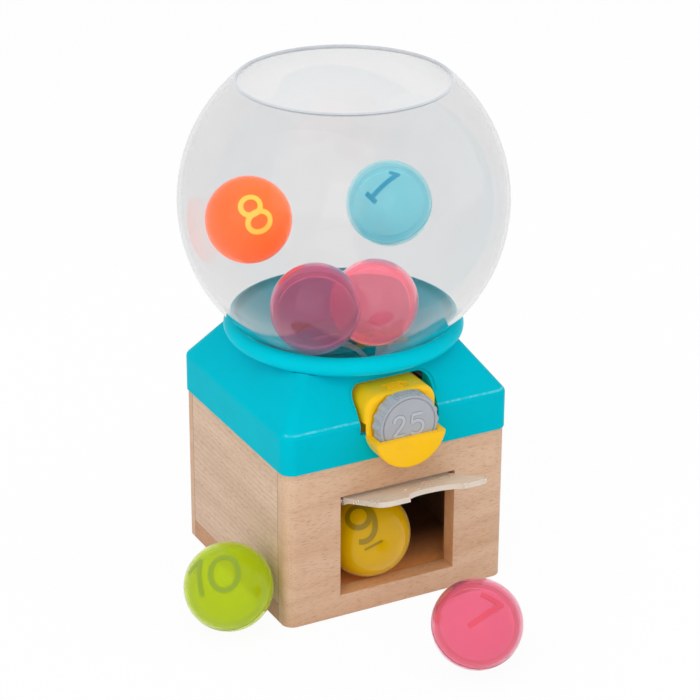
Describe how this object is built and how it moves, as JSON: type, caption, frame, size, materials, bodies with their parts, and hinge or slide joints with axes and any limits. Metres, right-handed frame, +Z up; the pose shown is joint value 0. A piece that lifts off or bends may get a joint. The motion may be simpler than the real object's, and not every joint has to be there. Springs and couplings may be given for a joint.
{
  "type": "toy gumball machine",
  "caption": "Toy gumball machine: wooden box with a moulded cover, clear open bowl, coin lever that releases a ball, hinged door flap and loose numbered hollow balls.",
  "frame": {"origin": "middle of the box's underside, on the floor", "axes": "+Z up, -Y towards the doorway and coin lever, +X to the right when facing the doorway"},
  "size_m": [0.1994, 0.246, 0.2728],
  "materials": {
    "beech": "satin, sanded beech",
    "steel": "plain drawn wire and screws",
    "teal_plastic": "gloss moulded plastic",
    "white_plastic": "satin moulded plastic",
    "clear_plastic": "clear moulded plastic",
    "frosted_plastic": "clear, slightly frosted plastic",
    "yellow_plastic": "gloss moulded plastic",
    "grey_plastic": "satin silver-grey plastic",
    "blue_plastic": "gloss moulded plastic",
    "orange_plastic": "gloss moulded plastic",
    "magenta_plastic": "gloss moulded plastic",
    "rose_plastic": "gloss moulded plastic",
    "mustard_plastic": "gloss moulded plastic",
    "lime_plastic": "gloss moulded plastic",
    "pink_plastic": "gloss moulded plastic"
  },
  "bodies": {
    "base": {"front_panel": "beech", "back_panel": "beech", "left_panel": "beech", "right_panel": "beech", "bottom_board": "beech", "corner_blocks": "beech", "board_screws": "steel", "cover_screws": "steel", "top_cover": "teal_plastic", "bowl_collar": "teal_plastic", "globe_bowl": "clear_plastic", "lever_axle": "steel", "left_axle_bracket": "white_plastic", "right_axle_bracket": "white_plastic", "bracket_screws": "steel", "return_spring": "steel", "ball_channel": "white_plastic", "channel_screws": "steel", "return_ramp": "beech", "flap_pin": "steel"},
    "lever": {"coin_lever": "yellow_plastic", "ball_gate": "white_plastic", "gate_pin": "steel"},
    "coin_piece": {"coin": "grey_plastic"},
    "flap": {"door_flap": "frosted_plastic"},
    "blue_ball": {"ball_1_blue": "blue_plastic"},
    "orange_ball": {"ball_8_orange": "orange_plastic"},
    "magenta_ball": {"ball_magenta": "magenta_plastic"},
    "rose_ball": {"ball_rose": "rose_plastic"},
    "yellow_ball": {"ball_9_yellow": "mustard_plastic"},
    "green_ball": {"ball_10_green": "lime_plastic"},
    "pink_ball": {"ball_7_pink": "pink_plastic"}
  },
  "joints": [
    {"name": "lever_press", "type": "hinge", "parent": "base", "child": "lever", "pos_m": [0, -0.04, 0.078], "axis": [1, 0, 0], "range_deg": [0, 11], "stiffness_Nm_per_rad": 0.08, "springref_deg": -14.32, "deforming": ["return_spring"]},
    {"name": "coin_lift", "type": "slide", "parent": "lever", "child": "coin_piece", "axis": [0, 0, 1], "range_m": [0, 0.02]},
    {"name": "flap_swing", "type": "hinge", "parent": "base", "child": "flap", "pos_m": [0, -0.0586, 0.0662], "axis": [1, 0, 0], "range_deg": [0, 90]},
    {"name": "blue_ball_roll", "type": "hinge", "parent": "base", "child": "blue_ball", "pos_m": [0, 0, 0.2068], "axis": [-0.5934, 0.8049, 0], "range_deg": [0, 17]},
    {"name": "orange_ball_roll", "type": "hinge", "parent": "base", "child": "orange_ball", "pos_m": [0, 0, 0.2068], "axis": [-0.7962, -0.605, 0], "range_deg": [0, 35]},
    {"name": "magenta_ball_turn", "type": "hinge", "parent": "base", "child": "magenta_ball", "pos_m": [-0.02899, -0.02441, 0.16067], "axis": [1, 0, 0], "continuous": true},
    {"name": "rose_ball_turn", "type": "hinge", "parent": "base", "child": "rose_ball", "pos_m": [0.01394, -0.00864, 0.14909], "axis": [0, 1, 0], "continuous": true},
    {"name": "yellow_ball_roll", "type": "slide", "parent": "base", "child": "yellow_ball", "axis": [0, 1, 0], "range_m": [0, 0.02]},
    {"name": "green_ball_roll", "type": "slide", "parent": "base", "child": "green_ball", "axis": [-1, 0, 0], "range_m": [0, 0.15]},
    {"name": "pink_ball_roll", "type": "slide", "parent": "base", "child": "pink_ball", "axis": [0, -1, 0], "range_m": [0, 0.15]}
  ]
}
